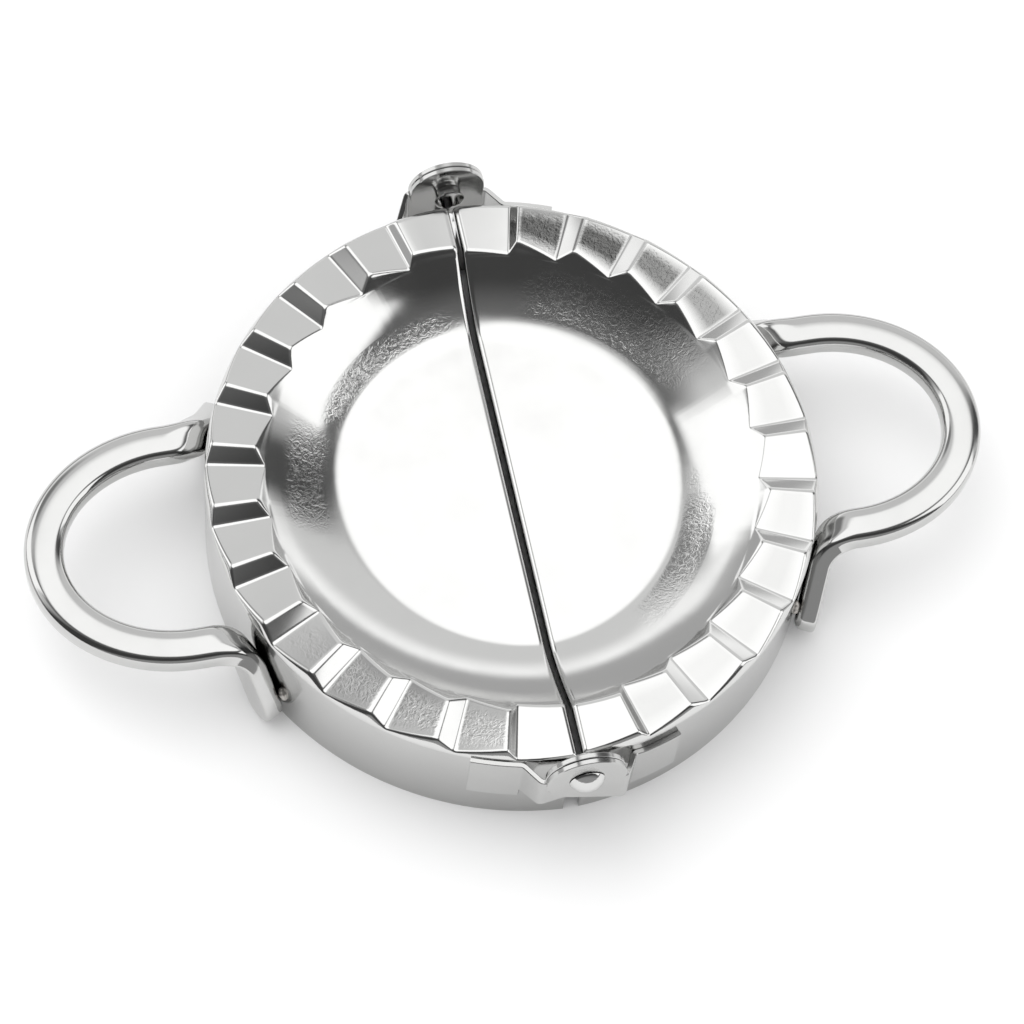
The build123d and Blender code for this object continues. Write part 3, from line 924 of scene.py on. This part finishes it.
upright = np.array([0.0, 0.0, 1.0])
front_fold = fold_places(-1)
rear_fold = fold_places(1)
bar_rows = front_fold + arm_places(front_fold, (0.35, 0.75), 1.0) + loop_places()
bar_rows += arm_places(rear_fold, (0.75, 0.35), -1.0)
bar_rows += [(origin, crown, -heading) for origin, crown, heading in reversed(rear_fold)]
print("stations along a bar:", len(bar_rows))


# %% Draw both bars
def section_ring(origin, crown, heading, swing, hand=1):
    """Section at a station; below 90 degrees of swing its two sides close round the tip."""
    across = np.cross(crown, heading) * hand * math.sin(math.radians(swing))
    back = heading * math.cos(math.radians(swing))
    return [origin + crown * y + across * x - back * abs(x) for x, y in section]


def ring_faces(rings, around, flip=False):
    """Faces between closed rings of points that lie one after another."""
    faces = []
    for ring in range(rings - 1):
        for step in range(around):
            a = ring * around + step
            b = ring * around + (step + 1) % around
            face = (a, b, b + around, a + around)
            faces.append((a, a + around, b + around, b) if flip else face)
    return faces


def bar_mesh(name, side):
    """One handle: sections along the bar, closed by round tips; side is 1 or -1."""
    origin, crown, heading = bar_rows[0]
    swings = np.linspace(0, 90, tip_steps)[:-1]
    rings = [section_ring(origin, crown, heading, swing) for swing in swings]
    rings += [section_ring(*row, 90) for row in bar_rows]
    origin, crown, heading = bar_rows[-1]
    rings += [section_ring(origin, crown, -heading, swing, -1) for swing in reversed(swings)]
    points = np.vstack(rings) * np.array([side, side, 1.0]) * MM
    mesh = bpy.data.meshes.new(name)
    mesh.from_pydata(points.tolist(), [], ring_faces(len(rings), len(section), flip=True))
    mesh.materials.append(bar_steel)
    return placed(name, mesh)


for side, name, body in ((1, "right_handle", "right_half"), (-1, "left_handle", "left_half")):
    bar = plain_mesh(bar_mesh(name + "_bar", side), merge_mm=0.004, sharp_degrees=50)
    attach(bar, body)
    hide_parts(name)

# %% [markdown]
# ## The hinge leaves
# At each end of the slit two leaves carry the rivet. A leaf is blanked from strip, then
# bent: a plate that lies on the skirt, a strap that stands off from it, and a round ear. It
# is drawn here the way it is made. Its flat blank gets thickness and a thin worn edge, cuts
# are made across the bend lines, and every point is then carried round the bends.

# %% Sizes of the leaves
leaf_sheet = 0.8
ear_gap = 0.1
ear_radius = 6.0
inner_ear_face = skirt_radius + 2.2
outer_ear_face = inner_ear_face + leaf_sheet + ear_gap
leaf_bottom = 8.0
leaf_top = 18.4
leaf_end = 16.0
plate_start = 8.5
ear_corner = (6.3, 10.8)
joggle_reach = 6.3
joggle_bottom = 10.2
strap_top = 18.8
low_plate_bottom = 5.2
low_plate_top = 15.6
plate_corner = 1.8
rivet_radius = 1.7
rivet_clearance = 0.05
leaf_edge = 0.1
leaf_bend_reach = 0.55
bend_cuts = (-0.8, -0.55, -0.3, 0, 0.3, 0.55, 0.8)


def plate_place(reach):
    """Depth, towards the front, of the middle of a plate that lies on the skirt."""
    return -math.sqrt((skirt_radius + leaf_sheet / 2) ** 2 - (reach + centre_shift) ** 2)


def bent_path(ear_face):
    """Corners in plan of a leaf's middle line, from beyond the ear to the plate's end."""
    strap = -ear_face - leaf_sheet / 2
    plate = np.linspace(plate_start, leaf_end + 1, 12)
    ends = [(-ear_radius - 3, strap), (joggle_reach, strap)]
    return ends + [(reach, plate_place(reach)) for reach in plate]


inner_path = bent_path(inner_ear_face)
outer_path = bent_path(outer_ear_face)
developed = tuple(corner_places(path)[-1] for path in (inner_path, outer_path))
print("developed leaf: %.1f mm and %.1f mm" % developed)

# %% [markdown]
# The blank's outline is drawn in two numbers, the distance along the strip and the height.
# Distances past the first bend are worked out from the bent path, so that the plate's corners
# land where they should once the leaf is bent.

# %% Flat outlines
def along_strip(path, reach):
    """Distance along the strip, from the pin, of a place on the plate or the ear."""
    places = corner_places(path) + path[0][0]
    xs = [corner[0] for corner in path]
    if reach <= xs[1]:
        return reach
    return float(np.interp(reach, xs[2:], places[2:]))


def circle(radius, angles):
    """Points round the pin at the given angles."""
    return [(radius * math.cos(a), pin_height + radius * math.sin(a)) for a in angles]


def ear_arc(start, finish, steps):
    """Points of the round ear between two directions, in degrees from the +X side."""
    return circle(ear_radius, np.radians(np.linspace(start, finish, steps)))


def lower_touch():
    """Direction from the pin in which the ear's straight lower edge leaves its circle."""
    dx, dz = ear_corner[0], ear_corner[1] - pin_height
    return math.degrees(math.atan2(dz, dx) - math.acos(ear_radius / math.hypot(dx, dz)))


def corner_curve(corner, onward):
    """Rounded corner of a plate's upper edge, between its level edge and the strap's slope."""
    corner = np.array(corner)
    way = np.array(onward) - corner
    reach = plate_corner * 0.8
    start = corner + np.array([reach, 0.0])
    finish = corner + way / np.linalg.norm(way) * reach
    curve = []
    for t in np.linspace(0, 1, 8):
        curve.append(tuple(start * (1 - t) ** 2 + corner * 2 * t * (1 - t) + finish * t**2))
    return curve


touch = lower_touch() % 360
top_turn = math.degrees(math.asin((leaf_top - pin_height) / ear_radius))
strap_turn = math.degrees(math.asin((strap_top - pin_height) / ear_radius))
inner_plate = along_strip(inner_path, plate_start)
inner_end = along_strip(inner_path, leaf_end)
inner_outline = [(along_strip(inner_path, ear_corner[0]), ear_corner[1])]
inner_outline += [(inner_plate, joggle_bottom), (inner_plate, leaf_bottom)]
inner_outline += [(inner_end, leaf_bottom), (inner_end, leaf_top)]
inner_outline += ear_arc(top_turn, touch, 40)
outer_plate = along_strip(outer_path, plate_start)
outer_end = along_strip(outer_path, leaf_end)
outer_corner = (outer_plate + plate_corner / 2, low_plate_top)
outer_outline = [ear_corner, (outer_plate, ear_corner[1]), (outer_plate, low_plate_bottom)]
outer_outline += [(outer_end, low_plate_bottom), (outer_end, low_plate_top)]
outer_outline += corner_curve(outer_corner, (joggle_reach, strap_top))
outer_outline += [(joggle_reach, strap_top)] + ear_arc(strap_turn, touch, 40)
print("outline points:", len(inner_outline), len(outer_outline))

# %% [markdown]
# A leaf's two faces are the outline drawn in by the width of the worn edge, with a hole for
# the rivet, filled with triangles. After a mirror the body's faces are turned outward again:
# their normals are recalculated, and reversed if its volume comes out negative.

# %% Blank, cut and bend a leaf
def drawn_in(loop, amount):
    """The loop moved to its left by an amount, square to its own edges."""
    loop = np.array(loop, float)
    before = loop - np.roll(loop, 1, axis=0)
    after = np.roll(loop, -1, axis=0) - loop
    left_before = np.stack([-before[:, 1], before[:, 0]], 1)
    left_after = np.stack([-after[:, 1], after[:, 0]], 1)
    left_before /= np.linalg.norm(left_before, axis=1)[:, None]
    left_after /= np.linalg.norm(left_after, axis=1)[:, None]
    way = left_before + left_after
    way /= (way * left_before).sum(axis=1)[:, None]
    return loop + way * amount


def outward_piece(name, shape, finish):
    """A placed piece of one finish from a built shape, with its faces turned outward."""
    bmesh.ops.recalc_face_normals(shape, faces=shape.faces)
    if shape.calc_volume(signed=True) < 0:
        bmesh.ops.reverse_faces(shape, faces=shape.faces)
    mesh = bpy.data.meshes.new(name)
    shape.to_mesh(mesh)
    shape.free()
    mesh.materials.append(finish)
    return placed(name, mesh)


def leaf_mesh(name, outline, path, bore_radius, flips):
    """A bent leaf; flips are the signs of X and Y for this corner of the press."""
    loops = [outline, circle(bore_radius, np.linspace(0, -2 * math.pi, 33)[:-1])]
    half = leaf_sheet / 2
    full = half - leaf_edge
    levels = [(-half, leaf_edge), (-full, 0.0), (full, 0.0), (half, leaf_edge)]
    shape = bmesh.new()
    rings = []
    for depth, inset in levels:
        lines = [drawn_in(loop, inset) for loop in loops]
        rings.append([[shape.verts.new((s, z, depth)) for s, z in line] for line in lines])
    for low, high in zip(rings[:-1], rings[1:]):
        for one, two in zip(low, high):
            for step in range(len(one)):
                following = (step + 1) % len(one)
                shape.faces.new((one[step], one[following], two[following], two[step]))
    for ring in (rings[0], rings[-1]):
        edges = []
        for loop in ring:
            for step in range(len(loop)):
                edges.append(shape.edges.get((loop[step], loop[(step + 1) % len(loop)])))
        bmesh.ops.triangle_fill(shape, use_beauty=True, edges=edges)
    bends = corner_places(path) + path[0][0]
    cuts = [bends[k] + side for k in (1, 2) for side in bend_cuts] + list(bends[3:])
    for cut in cuts:
        whole = list(shape.verts) + list(shape.edges) + list(shape.faces)
        across = {"plane_co": (cut, 0, 0), "plane_no": (1, 0, 0)}
        bmesh.ops.bisect_plane(shape, geom=whole, dist=1e-5, **across)
    bmesh.ops.recalc_face_normals(shape, faces=shape.faces)
    stations = np.array([vert.co.x for vert in shape.verts]) - path[0][0]
    reach = np.full(len(stations), leaf_bend_reach)
    middle = rounded_line(path, stations, reach)
    ahead = rounded_line(path, stations + 0.02, reach) - rounded_line(path, stations - 0.02, reach)
    ahead /= np.linalg.norm(ahead, axis=1)[:, None]
    for vert, (x, y), (dx, dy) in zip(shape.verts, middle, ahead):
        _, height, out = vert.co
        vert.co = Vector(((x + dy * out) * flips[0], (y - dx * out) * flips[1], height)) * MM
    return outward_piece(name, shape, strip_steel)


loose_bore = rivet_radius + rivet_clearance
for node, body, outline, path, bore_radius, flips in (
    ("front_inner_leaf", "left_half", inner_outline, inner_path, rivet_radius, (-1, 1)),
    ("rear_inner_leaf", "right_half", inner_outline, inner_path, loose_bore, (1, -1)),
    ("front_outer_leaf", "right_half", outer_outline, outer_path, loose_bore, (1, 1)),
    ("rear_outer_leaf", "left_half", outer_outline, outer_path, rivet_radius, (-1, -1)),
):
    strip = leaf_mesh(node + "_strip", outline, path, bore_radius, flips)
    leaf = plain_mesh(strip, merge_mm=0.002, sharp_degrees=40)
    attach(leaf, body)
    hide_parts(node)

# %% [markdown]
# ## The rivets
# A rivet is turned from rod: a domed head outside, a plain shank through both ears, and a
# tail that a tool has spread and hollowed inside. It is round, so its outline is drawn once,
# rounded, and turned about the pin's line.

# %% Rivets turned about the pin's line
head_radius = 2.7
head_height = 1.6
tail_length = 1.6
tail_radius = 2.4
tail_neck = 2.0
tail_dish = 0.5
rivet_round = 0.1
rivet_steps = 40
head_face = outer_ear_face + leaf_sheet + ear_gap
tail_face = inner_ear_face - ear_gap
tail_end = inner_ear_face - tail_length


def rivet_outline():
    """Rounded outline of the rivet, as distance along the pin's line and radius."""
    curve = (head_radius**2 + head_height**2) / (2 * head_height)
    middle = head_face + head_height - curve
    widest = math.asin(head_radius / curve)
    corners = [
        (middle + curve * math.cos(widest * part), curve * math.sin(widest * part))
        for part in np.linspace(0, 1, 10)
    ]
    corners += [(head_face, head_radius), (head_face, rivet_radius), (tail_face, rivet_radius)]
    corners += [(tail_face, tail_neck), ((tail_end + tail_face) / 2, tail_neck)]
    corners += [(tail_end, tail_radius), (tail_end, tail_neck), (tail_end + tail_dish, 0.0)]
    places = corner_places(corners)
    beside = [places[1:-1] + step for step in (-0.12, -0.06, 0.06, 0.12)]
    stations = np.unique(np.concatenate([places] + beside))
    stations = stations[(stations >= 0) & (stations <= places[-1])]
    line = rounded_line(corners, stations, np.full(len(stations), rivet_round))
    line[0] = (head_face + head_height, 0.0)
    line[-1] = (tail_end + tail_dish, 0.0)
    return line


def rivet_mesh(name, side):
    """One rivet; side is -1 at the front and 1 at the rear."""
    line = rivet_outline()
    points = []
    for distance, radius in line:
        for x, z in circle(radius, 2 * math.pi * np.arange(rivet_steps) / rivet_steps):
            points.append((x, side * distance, z))
    mesh = bpy.data.meshes.new(name)
    mesh.from_pydata((np.array(points) * MM).tolist(), [], ring_faces(len(line), rivet_steps))
    shape = bmesh.new()
    shape.from_mesh(mesh)
    bmesh.ops.remove_doubles(shape, verts=shape.verts, dist=0.002 * MM)
    return outward_piece(name, shape, rivet_steel)


for side, node in ((-1, "front_rivet"), (1, "rear_rivet")):
    rivet = plain_mesh(rivet_mesh(node + "_turned", side), merge_mm=0.002, sharp_degrees=40)
    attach(rivet, "left_half")
    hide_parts(node)

# %% [markdown]
# ## The weld beads
# A short bead of weld holds each foot's tip to the skirt, in the corner on the foot's outer
# side. Weld metal freezes in uneven lumps, so the bead is a long ball pushed in and out. It
# is flatter towards the skirt, which is thin, so that it stays inside the sheet.

# %% Beads at the feet
bead_radius = 0.8
bead_length = 2.6
bead_shrink = np.array([0.92, 0.9, 0.9])
bead_inner_share = 0.6


def bead_mesh(name, fold_side, side):
    """Bead of one foot; fold_side is -1 front or 1 rear of the right half, side turns it."""
    tip, crown, heading = fold_places(fold_side)[0]
    outward, down = -crown, -heading
    across = np.cross(outward, down) * (bar_width / 2)
    if across[2] < 0:
        across = -across
    middle = tip + across - down * bead_length / 2
    level = np.array([middle[0] + centre_shift, middle[1]])
    level = level / np.linalg.norm(level) * skirt_radius
    middle = np.array([level[0] - centre_shift, level[1], middle[2]])
    away = np.array([level[0], level[1], 0.0]) / skirt_radius
    third = np.cross(down, away)
    size = np.array([bead_length / 2, bead_radius, bead_radius]) * bead_shrink
    shape = bmesh.new()
    bmesh.ops.create_icosphere(shape, subdivisions=4, radius=1.0)
    for vert in shape.verts:
        p = np.array(vert.co)
        lump = 1 + 0.07 * math.sin(7 * p[0] + 2 * fold_side) + 0.05 * math.cos(9 * p[1] + 5 * p[2])
        reach = p * size
        sunk = bead_inner_share if reach[1] < 0 else 1.0
        spot = middle + down * reach[0] + away * reach[1] * lump * sunk + third * reach[2] * lump
        vert.co = Vector(spot * np.array([side, side, 1.0])) * MM
    return outward_piece(name, shape, bead_steel)


for node, body, fold_side, side in (
    ("right_handle_weld_front", "right_half", -1, 1),
    ("right_handle_weld_rear", "right_half", 1, 1),
    ("left_handle_weld_rear", "left_half", -1, -1),
    ("left_handle_weld_front", "left_half", 1, -1),
):
    lump = bead_mesh(node + "_bead", fold_side, side)
    bead = plain_mesh(lump, merge_mm=0.002, sharp_degrees=60)
    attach(bead, body)
    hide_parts(node)
